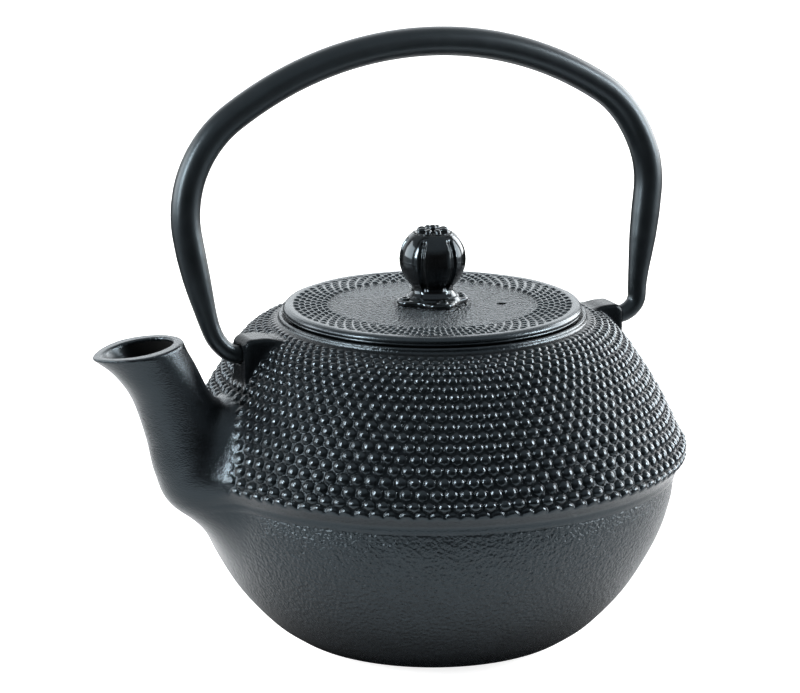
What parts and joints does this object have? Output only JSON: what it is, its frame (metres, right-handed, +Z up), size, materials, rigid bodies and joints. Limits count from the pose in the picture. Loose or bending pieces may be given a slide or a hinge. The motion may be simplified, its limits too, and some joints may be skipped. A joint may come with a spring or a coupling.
{
  "type": "teapot",
  "caption": "Black cast-iron teapot with a hobnail shoulder, curved spout, swinging bail handle, lift-off lid with a fluted knob, and a steel mesh infuser inside.",
  "frame": {"origin": "centre of the flat foot, on the axis of the bowl", "axes": "+Z up along the bowl's axis; the spout points towards -X, and the bail swings about a line parallel to X through both lugs"},
  "size_m": [0.2059, 0.165, 0.2026],
  "materials": {
    "body_iron": "matt charcoal-black coating on a grainy casting, enamel inside",
    "lid_iron": "satin black coating on a grainy casting",
    "bail_iron": "smooth satin black",
    "knob_black": "gloss black",
    "bright_steel": "plain turned steel",
    "infuser_steel": "pressed stainless steel, fine brushed grain",
    "infuser_mesh": "fine woven stainless mesh"
  },
  "bodies": {
    "pot": {"bowl_lower": "body_iron", "bowl_belt": "body_iron", "bowl_upper": "body_iron", "spout": "body_iron"},
    "bail": {"handle": "bail_iron"},
    "infuser": {"infuser_collar": "infuser_steel", "infuser_mesh_wall": "infuser_mesh", "infuser_base_ring": "infuser_steel", "infuser_mesh_floor": "infuser_mesh"},
    "lid": {"lid": "lid_iron", "knob": "knob_black", "knob_seat": "knob_black", "knob_washer": "bright_steel", "knob_screw": "bright_steel"}
  },
  "joints": [
    {"name": "bail_swing", "type": "hinge", "parent": "pot", "child": "bail", "pos_m": [0, 0, 0.1025], "axis": [1, 0, 0], "range_deg": [-108, 118]},
    {"name": "infuser_lift", "type": "slide", "parent": "pot", "child": "infuser", "axis": [0, 0, 1], "range_m": [0, 0.048]},
    {"name": "lid_lift", "type": "slide", "parent": "infuser", "child": "lid", "axis": [0, 0, 1], "range_m": [0, 0.048]}
  ]
}
